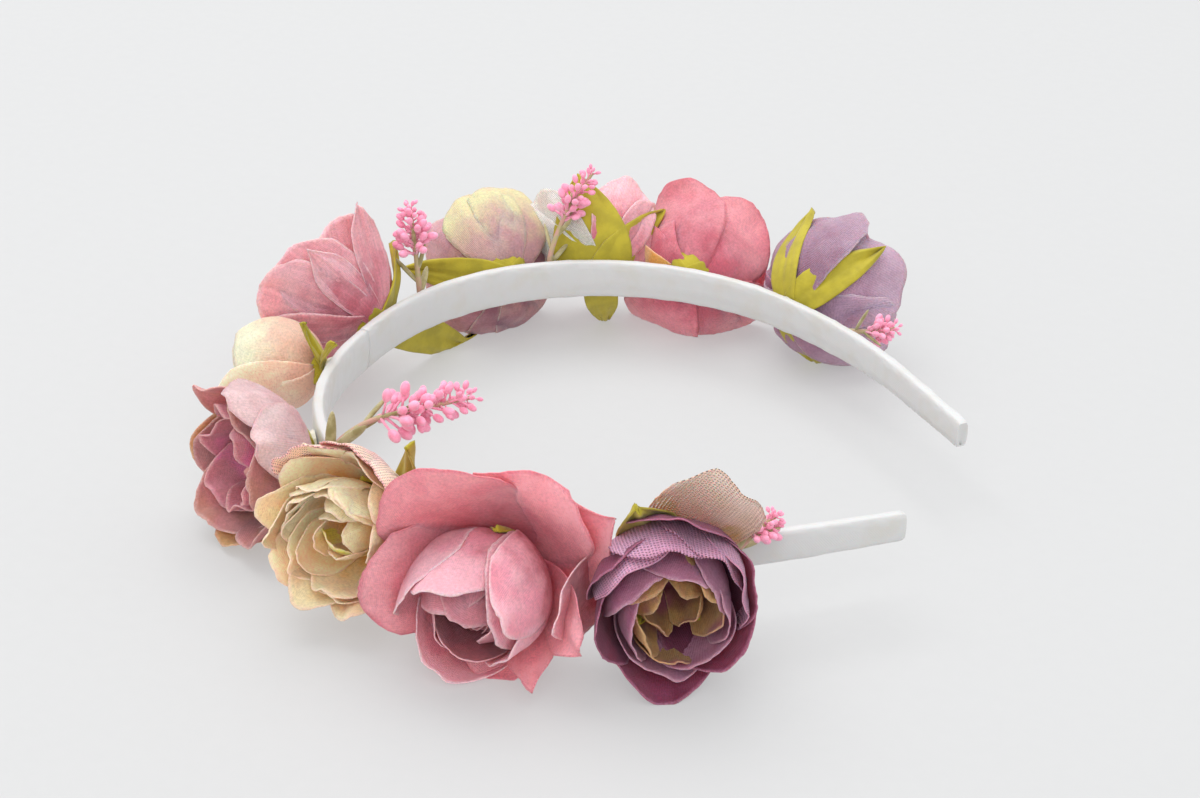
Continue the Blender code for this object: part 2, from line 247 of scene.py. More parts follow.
def petal_cloth_group():
    """Shared petal cloth: dyed gradient, stains, veins, a rim, and a woven thread pattern."""
    found = bpy.data.node_groups.get("petal_cloth")
    if found:
        return found
    colours, values = ("Foot", "Lip", "Rim", "Blush"), ("Thread", "Open", "Veins")
    tree, given, result = new_group(
        "petal_cloth",
        [*((title, "NodeSocketColor") for title in colours),
         *((title, "NodeSocketFloat") for title in values)],
        [("Colour", "NodeSocketColor"), ("Height", "NodeSocketFloat"), ("Cover", "NodeSocketFloat"),
         ("Roughness", "NodeSocketFloat")])
    across, along = map_parts(tree, "petal")[:2]
    shade_of_petal = map_parts(tree, "vary")[0]
    over, up = map_parts(tree, "cloth")[:2]
    place = node(tree, "ShaderNodeTexCoord").outputs["Object"]

    blotch = noise_at(tree, place, 260.0, 3.0)
    wandering = plus(tree, along, times(tree, maths(tree, "SUBTRACT", blotch, 0.5), 0.7))
    dyed = blend_colours(tree, ramp(tree, wandering, 0.12, 0.95), given["Foot"], given["Lip"])
    stain = ramp(tree, noise_at(tree, place, 110.0, 2.0), 0.5, 0.68)
    dyed = blend_colours(tree, times(tree, stain, 0.75), dyed, given["Blush"])

    vein_place = node(tree, "ShaderNodeCombineXYZ", {
        0: times(tree, across, 16.0), 1: times(tree, along, 1.4), 2: times(tree, shade_of_petal, 30.0)})
    veins = maths(tree, "SUBTRACT", noise_at(tree, vein_place.outputs[0], 1.0, 4.0), 0.5)
    shade = plus(tree, times(tree, veins, given["Veins"]), 0.9)
    shade = times(tree, shade, plus(tree, times(tree, shade_of_petal, 0.28), 0.94))
    dyed = shaded(tree, dyed, shade)

    from_middle = maths(tree, "ABSOLUTE", maths(tree, "SUBTRACT", times(tree, across, 2.0), 1.0))
    edge = maths(tree, "MAXIMUM", ramp(tree, from_middle, 0.93, 1.0), ramp(tree, along, 0.95, 1.0))
    rim = times(tree, edge, noise_at(tree, place, 2600.0, 1.0))
    dyed = blend_colours(tree, rim, dyed, given["Rim"])

    warp, weft = (
        maths(tree, "SINE", maths(tree, "DIVIDE", times(tree, way, math.tau), given["Thread"]))
        for way in (over, up))
    woven = maths(tree, "MAXIMUM", warp, weft)
    nap = noise_at(tree, place, 1900.0, 2.0)
    holes = maths(tree, "SUBTRACT", 1.0, ramp(tree, woven, -0.35, 0.35))
    threads = plus(tree, plus(tree, times(tree, woven, 0.09), times(tree, nap, 0.6)), 0.68)
    for title, value in (
            ("Colour", shaded(tree, dyed, threads)),
            ("Height", plus(tree, times(tree, woven, 0.35), nap)),
            ("Cover", maths(tree, "SUBTRACT", 1.0, times(tree, holes, given["Open"]), clamp=True)),
            ("Roughness", plus(tree, times(tree, nap, 0.25), 0.62))):
        tree.links.new(value, result[title])
    return tree


def new_material(name):
    made = bpy.data.materials.new(name)
    made.use_nodes = True
    tree = made.node_tree
    shader = tree.nodes["Principled BSDF"]
    return made, tree, shader


def bump(tree, shader, height, distance, strength=0.6):
    made = node(tree, "ShaderNodeBump", {"Height": height, "Distance": distance, "Strength": strength})
    tree.links.new(made.outputs[0], shader.inputs["Normal"])


def set_sockets(shader, values):
    for title, value in values.items():
        shader.inputs[title].default_value = value


def petal_material(dye):
    """Petal cloth of one dye. A sheer one is open mesh between its threads."""
    name = f"petal_{dye}"
    found = bpy.data.materials.get(name)
    if found:
        return found
    made, tree, shader = new_material(name)
    cloth = node(tree, "ShaderNodeGroup", node_tree=petal_cloth_group())
    *colours, sheer, veins = DYES[dye]
    for title, colour in zip(("Foot", "Lip", "Rim", "Blush"), colours):
        cloth.inputs[title].default_value = (*colour, 1.0)
    pitch = SHEER_PITCH if sheer > 0.5 else CLOSE_PITCH
    set_sockets(cloth, {"Thread": pitch, "Open": sheer, "Veins": veins})
    tree.links.new(cloth.outputs["Colour"], shader.inputs["Base Color"])
    tree.links.new(cloth.outputs["Roughness"], shader.inputs["Roughness"])
    if sheer:
        tree.links.new(cloth.outputs["Cover"], shader.inputs["Alpha"])
    bump(tree, shader, cloth.outputs["Height"], 0.0003)
    set_sockets(shader, {"Specular IOR Level": 0.3, "Sheen Weight": 0.12, "Sheen Roughness": 0.4,
                         "Subsurface Weight": 0.3, "Subsurface Scale": 0.002})
    return made


def mottled_material(name, colour, other, roughness, spots, fineness, sheen=0.2, distance=0.0001):
    """Plain procedural finish in object space: two tones, a grain and a fine nap."""
    found = bpy.data.materials.get(name)
    if found:
        return found
    made, tree, shader = new_material(name)
    place = node(tree, "ShaderNodeTexCoord").outputs["Object"]
    tone = noise_at(tree, place, spots, 4.0)
    grain = noise_at(tree, place, fineness, 2.0)
    mixed = blend_colours(tree, ramp(tree, tone, 0.35, 0.65), (*colour, 1.0), (*other, 1.0))
    tree.links.new(mixed, shader.inputs["Base Color"])
    rough = plus(tree, times(tree, grain, 0.25), roughness - 0.12)
    tree.links.new(rough, shader.inputs["Roughness"])
    bump(tree, shader, grain, distance)
    set_sockets(shader, {"Sheen Weight": sheen})
    return made


def satin_material(name, colour):
    """White satin: fine diagonal twill, long soft puckers and a gentle gloss."""
    found = bpy.data.materials.get(name)
    if found:
        return found
    made, tree, shader = new_material(name)
    over, up = map_parts(tree, "cloth")[:2]
    place = node(tree, "ShaderNodeTexCoord").outputs["Object"]
    diagonal = plus(tree, over, times(tree, up, 0.6))
    twill = maths(tree, "SINE", times(tree, diagonal, math.tau / 0.00032))
    pucker = noise_at(tree, place, 170.0, 3.0)
    fibre = noise_at(tree, place, 3000.0, 1.0)
    height = plus(tree, times(tree, twill, 0.06), times(tree, pucker, 1.6))
    height = plus(tree, height, times(tree, fibre, 0.12))
    bump(tree, shader, height, 0.00018, 0.5)
    aged = tuple(c * k for c, k in zip(colour, (0.97, 0.95, 0.90)))
    tone = blend_colours(tree, ramp(tree, pucker, 0.45, 0.75), (*colour, 1.0), (*aged, 1.0))
    tree.links.new(tone, shader.inputs["Base Color"])
    tree.links.new(plus(tree, times(tree, pucker, 0.2), 0.3), shader.inputs["Roughness"])
    set_sockets(shader, {"Sheen Weight": 0.25, "Anisotropic": 0.4, "Subsurface Weight": 0.08,
                         "Subsurface Scale": 0.001})
    return made


def add_piece(name, bm, material, thickness=0.0, smooth_by=None, offset=0.0):
    """A finished piece at the origin, with its place in its mesh. A thickness gives a sheet its wall."""
    mesh = bpy.data.meshes.new(name)
    bm.to_mesh(mesh)
    bm.free()
    mesh.shade_smooth()
    if smooth_by:
        mesh.set_sharp_from_angle(angle=math.radians(smooth_by))
    mesh.materials.append(material)
    obj = bpy.data.objects.new(name, mesh)
    bpy.context.scene.collection.objects.link(obj)
    if thickness:
        wall = obj.modifiers.new("cloth", "SOLIDIFY")
        wall.thickness = thickness
        wall.offset = offset
        wall.use_even_offset = False
    return obj


def floor_height():
    return CAD_BOX[0][2] - TABLE_GAP * MM


# ---------------------------------------------------------------- the band


def band_frame(along):
    """Point on the band's middle line, way to the tip and way outwards, at a signed distance in mm."""
    side = 1 if along >= 0 else -1
    left, heading = abs(along), 0.0
    x, y = -BAND_THICKNESS / 2, 0.0
    stretches = ((CROWN_FLAT, 0), (CROWN_ARC, CROWN_TURN), (SHOULDER_ARC, SHOULDER_TURN),
                 (ARM_ARC, ARM_TURN), (TIP_STRAIGHT, 0))
    for length, turn in stretches:
        run = min(left, length)
        if turn == 0:
            x += run * math.sin(heading)
            y += run * math.cos(heading)
        else:
            radius = length / turn
            turned = heading + run / radius
            x += radius * (math.cos(heading) - math.cos(turned))
            y += radius * (math.sin(turned) - math.sin(heading))
            heading = turned
        left -= run
        if left <= 0:
            break
    to_tip = Vector((math.sin(heading), side * math.cos(heading), 0))
    outward = Vector((-math.cos(heading), side * math.sin(heading), 0))
    return Vector((x, side * y, 0)), to_tip, outward


def band_width(along, settings):
    share = min(1.0, abs(along) / HALF_BAND)
    crown, tip = settings.crown_width / MM, settings.tip_width / MM
    return crown + (tip - crown) * share**TAPER_POWER


def sleeve_point(along, turn, settings):
    """Point on the sleeve: a soft-edged strip, with its lapped seam down the inner face and small puckers."""
    middle, _, outward = band_frame(along)
    near_end = min(1.0, max(0.0, (abs(along) - (HALF_BAND - 1.2)) / 2.1))
    closing = math.sqrt(max(0.0, 1 - 0.62 * near_end**2))
    wide = band_width(along, settings) / 2 * closing
    thick = BAND_THICKNESS / 2 * closing
    across, up = math.cos(turn), math.sin(turn)
    a = math.copysign(abs(across) ** 0.42, across) * thick
    b = math.copysign(abs(up) ** 0.55, up) * wide
    a *= 1 - 0.10 * (b / wide) ** 2
    seam_at = -0.25 * wide - 0.35 * wide * abs(along) / HALF_BAND
    if across < 0 and b < seam_at:
        a *= 0.88
    wander = noise.noise(Vector((along * 0.22, turn * 1.3, 3.0)))
    ripple = noise.noise(Vector((along * 0.9, turn * 2.0, 9.0)))
    a += math.copysign((wander * 1.1 + ripple * 0.7) * settings.pucker / MM, across)
    b += wander * 0.14
    return (middle + outward * a + UP * b) * MM


def make_sleeve(side_name, side, settings):
    """Half of the satin sleeve, from the middle of the crown to one tip, and the folded end there."""
    bm = bmesh.new()
    uv = bm.loops.layers.uv.new("cloth")
    rings = []
    for i in range(SLEEVE_STEPS + 1):
        along = side * (HALF_BAND + TIP_FOLD) * i / SLEEVE_STEPS
        turns = (math.tau * k / SLEEVE_ROUNDS for k in range(SLEEVE_ROUNDS))
        rings.append([bm.verts.new(sleeve_point(along, turn, settings)) for turn in turns])
    length = HALF_BAND * MM / SLEEVE_STEPS
    girth = SLEEVE_GIRTH / SLEEVE_ROUNDS
    for i in range(SLEEVE_STEPS):
        for k in range(SLEEVE_ROUNDS):
            j = (k + 1) % SLEEVE_ROUNDS
            face = bm.faces.new((rings[i][k], rings[i][j], rings[i + 1][j], rings[i + 1][k]))
            for loop, (a, b) in zip(face.loops, ((k, i), (k + 1, i), (k + 1, i + 1), (k, i + 1))):
                loop[uv].uv = (a * girth, b * length)
    fold = bm.faces.new(rings[-1])
    for loop in fold.loops:
        loop[uv].uv = (loop.vert.co.y, loop.vert.co.z)
    bmesh.ops.recalc_face_normals(bm, faces=bm.faces)
    satin = satin_material("white_satin", settings.satin)
    piece = add_piece(f"satin_sleeve_{side_name}", bm, satin, settings.cloth, 50, -1.0)
    arm = f"{side_name}_arm"
    start, _, _ = band_frame(side * (FLEX_AT - FLEX_BLEND))
    end, _, _ = band_frame(side * (FLEX_AT + FLEX_BLEND))
    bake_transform(piece)
    covers = [f"satin_cover_{arm}", f"{side_name}_tip_fold"]
    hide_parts(*covers, *(["satin_cover_crown"] if side > 0 else []))
    return piece


# ---------------------------------------------------------------- petals


@dataclass
class Whorl:
    """Petals of one size set round a flower's axis, in millimetres and degrees."""

    count: int
    length: float
    width: float
    slopes: tuple  # against the flat, at the foot, the middle and the tip
    start: float = 0.0
    step: float = 0.0  # 0 spreads the petals evenly
    foot: float = 1.2  # distance of the foot from the axis
    foot_step: float = 0.0
    rise: float = 2.0  # height of the foot
    grow: float = 0.0  # length added from each petal to the next
    roll: float = 0.0  # how far the lip turns outwards
    neck: float = 0.4  # width at the foot, as a share
    peak: float = 0.6  # where the petal is widest
    tip: float = 0.72  # width at the tip, as a share
    notch: float = 0.22  # how much shorter the sides are
    wrap: float = 1.0  # how tightly the petal curves round the axis
    slant: float = 0.7  # one side in, the other out, so that neighbours overlap
    ruffle: float = 0.4  # height of the waves along the lip
    waves: float = 1.5  # half waves from the middle to a side
    crease: float = 0.35  # depth of the fold up the middle
    jitter: float = 5.0  # stray in turn and slope


def petal_profile(whorl, length, lift, steps):
    """Distance from the axis, height and slope up the middle of a petal."""
    low, middle, high = (math.radians(s + lift) for s in whorl.slopes)
    rows, r, z = [], 0.0, 0.0
    for i in range(steps + 1):
        v = i / steps
        slope = low * (1 - v) * (1 - 2 * v) + middle * 4 * v * (1 - v) + high * v * (2 * v - 1)
        lip = max(0.0, (v - 0.7) / 0.3)
        slope -= math.radians(whorl.roll) * lip * lip * (3 - 2 * lip)
        rows.append((r, z, slope))
        r += math.cos(slope) * length / steps
        z += math.sin(slope) * length / steps
    return rows


def petal_width(whorl, v):
    if v < whorl.peak:
        return whorl.neck + (1 - whorl.neck) * math.sin(math.pi / 2 * v / whorl.peak)
    past = (v - whorl.peak) / (1 - whorl.peak)
    return 1 + (whorl.tip - 1) * past**2


def quad_area(corners):
    """Area of a flat four-sided shape, from its diagonals."""
    (ax, ay), (bx, by), (cx, cy), (dx, dy) = corners
    return abs((cx - ax) * (dy - by) - (dx - bx) * (cy - ay)) / 2


def add_petal(bm, maps, place, whorl, index, chance):
    """One petal: a curved sheet with ruffles, a middle crease, puckers and a slightly frayed edge.

    Gives back the area of its flat blank, worked out before the petal is curved.
    """
    turn = whorl.start + index * (whorl.step or 360 / whorl.count) + chance.uniform(-1, 1) * whorl.jitter
    turn = math.radians(turn)
    length = (whorl.length + whorl.grow * index) * chance.uniform(0.94, 1.06)
    lift = chance.uniform(-1, 1) * whorl.jitter
    foot = whorl.foot + whorl.foot_step * index
    phase, seed, shade = chance.uniform(0, math.tau), chance.uniform(0, 50), chance.random()
    rows = petal_profile(whorl, length, lift, FINE_STEPS)
    out = Vector((math.cos(turn), math.sin(turn), 0))
    round_ = Vector((-math.sin(turn), math.cos(turn), 0))
    grid, blank = [], []
    for j in range(PETAL_ALONG + 1):
        line, flat_line = [], []
        for i in range(PETAL_ACROSS + 1):
            u, v = 2 * i / PETAL_ACROSS - 1, j / PETAL_ALONG
            fray = noise.noise(Vector((u * 14, v * 14, seed))) * 0.015
            reach = v * (1 - whorl.notch * abs(u) ** 2.6 + 0.03 * math.sin(3 * u + phase)) + fray * v
            at = min(max(reach, 0.0), 1.0) * FINE_STEPS
            low = min(int(at), FINE_STEPS - 1)
            part = at - low
            r, z, slope = (p + (q - p) * part for p, q in zip(rows[low], rows[low + 1]))
            r += foot
            curve = max(abs(r) * whorl.wrap, 2.2)
            half = whorl.width / 2 * petal_width(whorl, reach) * (1 + fray * 2)
            flat_line.append((u * half, reach * length))
            angle = max(-2.9, min(2.9, u * half / curve))
            wave = whorl.ruffle * reach**2 * math.sin(math.pi * whorl.waves * u + phase)
            wave += whorl.slant * u * (0.3 + 0.7 * reach)
            wave -= whorl.crease * math.exp(-((u * 5) ** 2)) * reach * (1.2 - reach)
            pucker = Vector((u * 2.2, v * 2.6, seed))
            wave += noise.noise(pucker) * 0.9 * reach + noise.noise(pucker * 3.5) * 0.22 * reach
            side = r - curve * (1 - math.cos(angle)) + wave * math.sin(slope)
            height = whorl.rise + z - wave * math.cos(slope)
            local = out * side + round_ * (curve * math.sin(angle)) + UP * height
            world = place @ (local * MM)
            world.z = max(world.z, floor_height() + EDGE_CLEARANCE * MM)
            line.append(bm.verts.new(world))
        grid.append(line)
        blank.append(flat_line)
    petal_map, vary_map, cloth_map = maps
    area = 0.0
    for j in range(PETAL_ALONG):
        for i in range(PETAL_ACROSS):
            corners = ((i, j), (i + 1, j), (i + 1, j + 1), (i, j + 1))
            face = bm.faces.new([grid[b][a] for a, b in corners])
            area += quad_area([blank[b][a] for a, b in corners]) * MM * MM
            for loop, (a, b) in zip(face.loops, corners):
                u, v = a / PETAL_ACROSS, b / PETAL_ALONG
                loop[petal_map].uv = (u, v)
                loop[vary_map].uv = (shade, index / max(1, whorl.count))
                loop[cloth_map].uv = (u * whorl.width * MM, v * length * MM)
    return area


def make_whorls(name, place, whorls, material, thickness, seed):
    bm = bmesh.new()
    maps = [bm.loops.layers.uv.new(title) for title in ("petal", "vary", "cloth")]
    chance = random.Random(seed)
    area = 0.0
    for whorl in whorls:
        for index in range(whorl.count):
            area += add_petal(bm, maps, place, whorl, index, chance)
    piece = add_piece(name, bm, material, thickness)
    return piece


def flower_frame(name):
    """Matrix of a flower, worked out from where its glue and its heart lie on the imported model."""
    glue, heart = (
        sum((Vector(c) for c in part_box(f"{name}_{part}")), Vector()) / 2 for part in ("glue", "heart"))
    axis = (heart - glue).normalized()
    across = UP.cross(axis).normalized()
    place = Matrix((across, axis.cross(across), axis)).transposed().to_4x4()
    place.translation = glue + axis * (FOOT_GAP * MM)
    return place


# Whorls of each kind of flower, by the part of the flower that they make
KINDS = {
    "rose": {
        "outer_petals": [
            Whorl(1, 31, 29, (4, 38, 24), start=128, roll=35, wrap=2.4, slant=0.5, rise=1.6, tip=0.8),
            Whorl(1, 27, 27, (2, 34, 28), start=66, roll=35, wrap=2.2, slant=1.2, rise=0.6, tip=0.8),
            Whorl(1, 29, 22, (2, 34, 28), start=34, roll=20, wrap=1.8, slant=0.6, rise=1.1, tip=0.04),
            Whorl(1, 28, 22, (4, 44, 30), start=188, roll=40, wrap=2.2, slant=-0.8, rise=1.2, tip=0.75),
            Whorl(1, 27, 12, (6, 58, 76), start=304, tip=0.15, peak=0.45, wrap=1.2, slant=1.2, rise=1.6),
            Whorl(1, 30, 13, (6, 60, 70), start=340, tip=0.12, peak=0.6, roll=20, wrap=1.2, rise=2.6),
            Whorl(2, 24, 20, (2, 46, 60), start=230, step=45, roll=20, wrap=1.3, rise=0.8),
        ],
        "inner_petals": [
            Whorl(1, 27, 24, (10, 84, 108), start=106, foot=5.4, slant=0.8, ruffle=0.2, tip=0.8, notch=0.3,
                  crease=0.1, roll=10),
            Whorl(1, 28, 19, (10, 84, 104), start=38, foot=5.8, slant=1.6, ruffle=0.2, tip=0.75, notch=0.35,
                  crease=0.1, roll=10),
            Whorl(5, 26, 25, (10, 86, 112), start=330, step=GOLDEN_TURN, foot=4.4, foot_step=0.3, slant=2.2,
                  ruffle=0.2, tip=0.75, notch=0.4, crease=0.1),
        ],
        "heart": [
            Whorl(5, 24.5, 19, (24, 92, 134), start=70, step=GOLDEN_TURN, foot=3.2, foot_step=0.25,
                  slant=2.0, ruffle=0.1, tip=0.5, notch=0.35, crease=0.05),
            Whorl(5, 17, 14, (44, 92, 100), start=200, step=GOLDEN_TURN, foot=0.8, foot_step=0.6, grow=0.2,
                  slant=1.6, ruffle=0.1, tip=0.9, notch=0.12, crease=0.05),
        ],
    },
    "small_rose": {
        "outer_petals": [
            Whorl(5, 26, 25, (2, 60, 72), start=60, roll=65, wrap=1.2, slant=1.3),
        ],
        "inner_petals": [
            Whorl(5, 24, 27, (8, 80, 118), start=90, step=GOLDEN_TURN, foot=3.0, foot_step=0.4, slant=1.4,
                  ruffle=0.15, tip=0.9, crease=0.1),
        ],
        "heart": [
            Whorl(7, 18.5, 22, (30, 90, 138), start=200, step=GOLDEN_TURN, foot=0.4, foot_step=0.55,
                  grow=0.3, slant=1.1, ruffle=0.1, tip=0.92, notch=0.12, crease=0.05),
        ],
    },
    "ranunculus": {
        "outer_petals": [
            Whorl(6, 27, 23, (0, 58, 90), start=200, roll=10, waves=1.4, slant=1.4),
        ],
        "inner_petals": [
            Whorl(6, 24, 21, (4, 70, 108), start=255, ruffle=0.3, waves=1.4, slant=1.4),
        ],
        "heart": [
            Whorl(5, 20, 14, (16, 78, 120), start=215, step=GOLDEN_TURN, foot=1.6, foot_step=0.7, grow=0.4,
                  ruffle=0.4, waves=1.2, slant=1.6, rise=3.0, notch=0.3),
            Whorl(4, 15, 10, (24, 78, 134), start=60, foot=1.4, ruffle=0.5, slant=0.8, rise=3.5, notch=0.4),
        ],
    },
    "peony": {
        "outer_petals": [
            Whorl(8, 24, 16, (0, 56, 78), start=40, step=36, roll=20, ruffle=0.5, waves=1.4, slant=1.0,
                  notch=0.35),
        ],
        "inner_petals": [
            Whorl(7, 23, 15, (4, 68, 100), start=15, roll=10, ruffle=0.5, waves=1.4, slant=1.2, notch=0.35),
            Whorl(4, 22, 14, (8, 70, 112), start=70, step=35, roll=5, rise=2.6, slant=1.2, notch=0.35),
        ],
        "heart": [
            Whorl(7, 20, 12, (14, 70, 122), start=80, step=GOLDEN_TURN, foot=0.8, foot_step=0.7, grow=0.3,
                  slant=1.2, rise=3.2, notch=0.35),
            Whorl(4, 15, 8, (30, 80, 110), start=20, foot=0.8, ruffle=0.3, slant=0.8, rise=4.0),
        ],
    },
    "mauve_peony": {
        "outer_petals": [
            Whorl(6, 26, 23, (2, 64, 94), start=75, roll=5, waves=1.6, slant=1.3),
        ],
        "inner_petals": [
            Whorl(6, 23, 20, (6, 74, 116), start=15, roll=5, waves=1.6, slant=1.2),
        ],
        "heart": [
            Whorl(7, 16, 14, (18, 80, 120), start=100, step=GOLDEN_TURN, foot=0.5, foot_step=0.6, grow=0.5,
                  slant=0.9, rise=3.0),
        ],
    },
    "open_rose": {
        "outer_petals": [
            Whorl(6, 25, 22, (0, 60, 88), start=10, roll=15, ruffle=0.9, waves=1.8, slant=1.6, notch=0.3),
        ],
        "inner_petals": [
            Whorl(6, 22, 16, (4, 70, 100), start=50, roll=10, ruffle=1.1, waves=2.0, slant=1.5, notch=0.3),
        ],
    },
    "yellow_bud": {
        "outer_petals": [
            Whorl(4, 21.5, 21, (10, 82, 126), start=30, step=GOLDEN_TURN, foot=1.6, foot_step=0.5,
                  slant=1.2, ruffle=0.15, tip=0.85),
        ],
        "heart": [
            Whorl(6, 16, 15, (32, 90, 138), start=200, step=GOLDEN_TURN, foot=0.4, foot_step=0.5, grow=0.4,
                  slant=1.0, ruffle=0.1, tip=0.9),
        ],
    },
    "pink_bud": {
        "outer_petals": [
            Whorl(5, 21, 18, (8, 62, 84), start=60, roll=20, slant=1.2),
        ],
        "heart": [
            Whorl(6, 17, 14, (28, 84, 122), start=140, step=GOLDEN_TURN, foot=0.4, foot_step=0.55, grow=0.5,
                  slant=1.0, ruffle=0.3),
        ],
    },
    "blossom": {
        "outer_petals": [
            Whorl(6, 24, 19, (6, 50, 40), start=20, roll=15, waves=1.4, slant=1.2, wrap=2.2),
            Whorl(2, 27, 9, (4, 34, 26), start=52, step=34, tip=0.05, ruffle=0.3, rise=0.6, wrap=2.6),
            Whorl(5, 19, 15, (12, 70, 90), start=10, slant=1.0),
        ],
    },
}

# Dyes: foot of the petal, lip, frayed rim, stain; the share of open mesh; the strength of the veins
DYES = {
    "rose": ((0.66, 0.13, 0.18), (0.95, 0.38, 0.42), (0.62, 0.14, 0.19), (0.84, 0.26, 0.31), 0.0, 0.1),
    "rose_wrap": ((0.38, 0.035, 0.06), (0.93, 0.43, 0.49), (0.98, 0.72, 0.74), (0.80, 0.26, 0.33), 0.0, 0.08),
    "rose_heart": ((0.20, 0.015, 0.03), (0.76, 0.29, 0.34), (0.92, 0.56, 0.58), (0.62, 0.17, 0.22), 0.0, 0.1),
    "plum": ((0.07, 0.006, 0.024), (0.20, 0.04, 0.09), (0.48, 0.22, 0.32), (0.12, 0.012, 0.045), 0.0, 0.15),
    "mauve_plum": ((0.20, 0.05, 0.10), (0.46, 0.20, 0.30), (0.64, 0.38, 0.46), (0.34, 0.10, 0.19), 0.0, 0.15),
    "mesh": ((0.42, 0.16, 0.25), (0.62, 0.32, 0.46), (0.50, 0.22, 0.32), (0.50, 0.20, 0.32), 0.75, 0.1),
    "organza": ((0.36, 0.18, 0.26), (0.56, 0.36, 0.46), (0.72, 0.54, 0.60), (0.48, 0.26, 0.36), 0.35, 0.1),
    "beige_mesh": ((0.40, 0.32, 0.02), (0.84, 0.70, 0.60), (0.50, 0.30, 0.22), (0.80, 0.64, 0.56), 0.9, 0.1),
    "mustard": ((0.10, 0.01, 0.03), (0.60, 0.34, 0.13), (0.70, 0.44, 0.24), (0.36, 0.09, 0.15), 0.0, 0.3),
    "peach": ((1.0, 0.44, 0.10), (1.0, 0.82, 0.52), (1.0, 0.60, 0.50), (1.0, 0.62, 0.38), 0.0, 0.06),
    "peach_mesh": ((1.0, 0.76, 0.50), (0.98, 0.66, 0.54), (0.86, 0.30, 0.38), (0.94, 0.44, 0.48), 0.55, 0.1),
    "lime": ((0.98, 0.70, 0.30), (0.86, 0.80, 0.06), (0.95, 0.56, 0.50), (0.98, 0.80, 0.46), 0.0, 0.2),
    "dusty": ((0.20, 0.04, 0.05), (0.56, 0.24, 0.24), (0.74, 0.48, 0.44), (0.50, 0.25, 0.19), 0.0, 0.3),
    "dusty_pale": ((0.50, 0.22, 0.23), (0.74, 0.50, 0.50), (0.66, 0.34, 0.36), (0.62, 0.36, 0.36), 0.0, 0.2),
    "tan": ((0.40, 0.15, 0.08), (0.62, 0.36, 0.16), (0.68, 0.42, 0.34), (0.52, 0.22, 0.15), 0.0, 0.3),
    "hot": ((0.24, 0.03, 0.06), (0.62, 0.24, 0.28), (0.78, 0.46, 0.44), (0.84, 0.20, 0.40), 0.0, 0.25),
    "cream": ((0.90, 0.46, 0.34), (1.0, 0.87, 0.62), (1.0, 0.78, 0.62), (0.92, 0.54, 0.42), 0.0, 0.15),
    "cream_organza": ((0.84, 0.72, 0.62), (0.98, 0.92, 0.86), (0.95, 0.84, 0.78), (0.92, 0.80, 0.72), 0.5,
                      0.1),
    "pale_lemon": ((0.60, 0.30, 0.32), (0.86, 0.72, 0.40), (0.86, 0.66, 0.52), (0.76, 0.46, 0.42), 0.0, 0.15),
    "blossom": ((0.66, 0.16, 0.21), (1.0, 0.50, 0.54), (1.0, 0.68, 0.70), (0.94, 0.38, 0.43), 0.0, 0.5),
    "mauve": ((0.34, 0.12, 0.16), (0.66, 0.36, 0.38), (0.82, 0.60, 0.54), (0.62, 0.32, 0.30), 0.0, 0.25),
}

# flower: (kind, the dyes of that kind's parts in turn, nod of the inner petals and heart to the right and up)
FLOWERS = {
    "right_plum": ("ranunculus", ("plum", "mauve_plum", "mustard"), (0, -12)),
    "right_rose": ("rose", ("rose", "rose_wrap", "rose_heart"), (-12, -12)),
    "peach_peony": ("peony", ("peach", "peach", "peach"), (0, -8)),
    "open_rose": ("open_rose", ("dusty", "hot"), (0, 0)),
    "yellow_bud": ("yellow_bud", ("cream", "cream"), (0, 0)),
    "pink_blossom": ("blossom", ("blossom",), (0, 0)),
    "mauve_peony": ("mauve_peony", ("mauve", "mauve", "pale_lemon"), (0, 0)),
    "pink_bud": ("pink_bud", ("blossom", "rose"), (0, 0)),
    "left_rose": ("small_rose", ("rose", "rose", "rose_heart"), (0, 0)),
    "left_plum": ("ranunculus", ("mauve_plum", "mauve_plum", "plum"), (0, 0)),
}
SEPALS = Whorl(5, 14, 7.5, (0, 54, 70), start=18, foot=0.6, rise=0.3, neck=0.75, peak=0.25, tip=0.05,
               notch=0.0, wrap=1.3, slant=0.2, ruffle=0.3, crease=0.5)
SMALL_SEPALS = Whorl(4, 8.5, 6.0, (6, 60, 80), start=40, foot=0.6, rise=0.3, neck=0.8, peak=0.25, tip=0.06,
                     notch=0.0, slant=0.2, ruffle=0.3, crease=0.5)
FLAT_LEAF = dict(notch=0.0, slant=0.1, crease=0.7, rise=0.4)
LONG_LEAF = dict(neck=0.6, peak=0.3, tip=0.04, wrap=2.2, ruffle=0.6, **FLAT_LEAF)
BROAD_LEAF = dict(neck=0.95, peak=0.08, tip=0.03, wrap=1.8, ruffle=0.4, **FLAT_LEAF)

